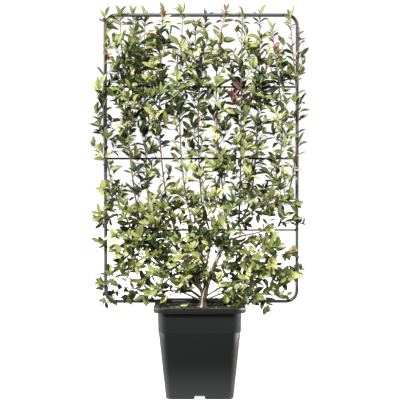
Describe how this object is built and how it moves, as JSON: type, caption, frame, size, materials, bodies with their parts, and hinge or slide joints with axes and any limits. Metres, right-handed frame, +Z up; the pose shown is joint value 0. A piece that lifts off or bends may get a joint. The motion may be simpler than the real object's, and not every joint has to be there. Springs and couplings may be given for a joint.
{
  "type": "potted photinia trained on a frame",
  "caption": "Evergreen photinia trained flat on an upright tube frame, rooted in a square plastic nursery pot filled with soil; stands on the pot's flat underside.",
  "frame": {"origin": "middle of the pot's flat underside", "axes": "+Z up; +X to the right seen from the front; +Y from the front to the back, square to the tube frame's plane, which is Y = 0"},
  "size_m": [0.8964, 0.369, 1.6037],
  "materials": {
    "pot_plastic": "black moulded plastic, satin, slightly dusty",
    "soil": "dark potting compost with bark chips, straw and a few white grains",
    "frame_steel": "dark grey powder coat, semi-gloss",
    "bark": "grey-brown bark, smoother and pinker on young stems",
    "foliage": "glossy evergreen leaves, dark to lime green, with bronze-red tips"
  },
  "bodies": {
    "root": {"bough_arm_inner": "bark", "bough_arm_middle": "bark", "bough_arm_outer": "bark", "bough_centre": "bark", "bough_foot_left": "bark", "bough_foot_right": "bark", "bough_foot_right_low": "bark", "bough_inner_core": "bark", "bough_inner_left": "bark", "bough_inner_low": "bark", "bough_left_fork": "bark", "bough_left_leader": "bark", "bough_left_side": "bark", "bough_low_left": "bark", "bough_middle": "bark", "bough_outer_left": "bark", "bough_right_arm": "bark", "bough_right_edge": "bark", "bough_right_leader": "bark", "bough_right_low": "bark", "bough_right_side": "bark", "bough_upright": "bark", "foliage_arm_inner": "foliage", "foliage_arm_middle": "foliage", "foliage_arm_outer": "foliage", "foliage_centre": "foliage", "foliage_centre_left": "foliage", "foliage_foot_left": "foliage", "foliage_foot_right": "foliage", "foliage_foot_right_low": "foliage", "foliage_inner_core": "foliage", "foliage_inner_left": "foliage", "foliage_inner_low": "foliage", "foliage_left": "foliage", "foliage_left_edge": "foliage", "foliage_left_inner": "foliage", "foliage_left_side": "foliage", "foliage_right_edge": "foliage", "foliage_right_low": "foliage", "foliage_right_side": "foliage", "foliage_upright": "foliage", "frame_bottom_rail": "frame_steel", "frame_left_post": "frame_steel", "frame_right_post": "frame_steel", "frame_rod_high": "frame_steel", "frame_rod_low": "frame_steel", "frame_rod_middle": "frame_steel", "frame_top_rail": "frame_steel", "pot": "pot_plastic", "soil": "soil", "trunk": "bark"}
  },
  "joints": []
}
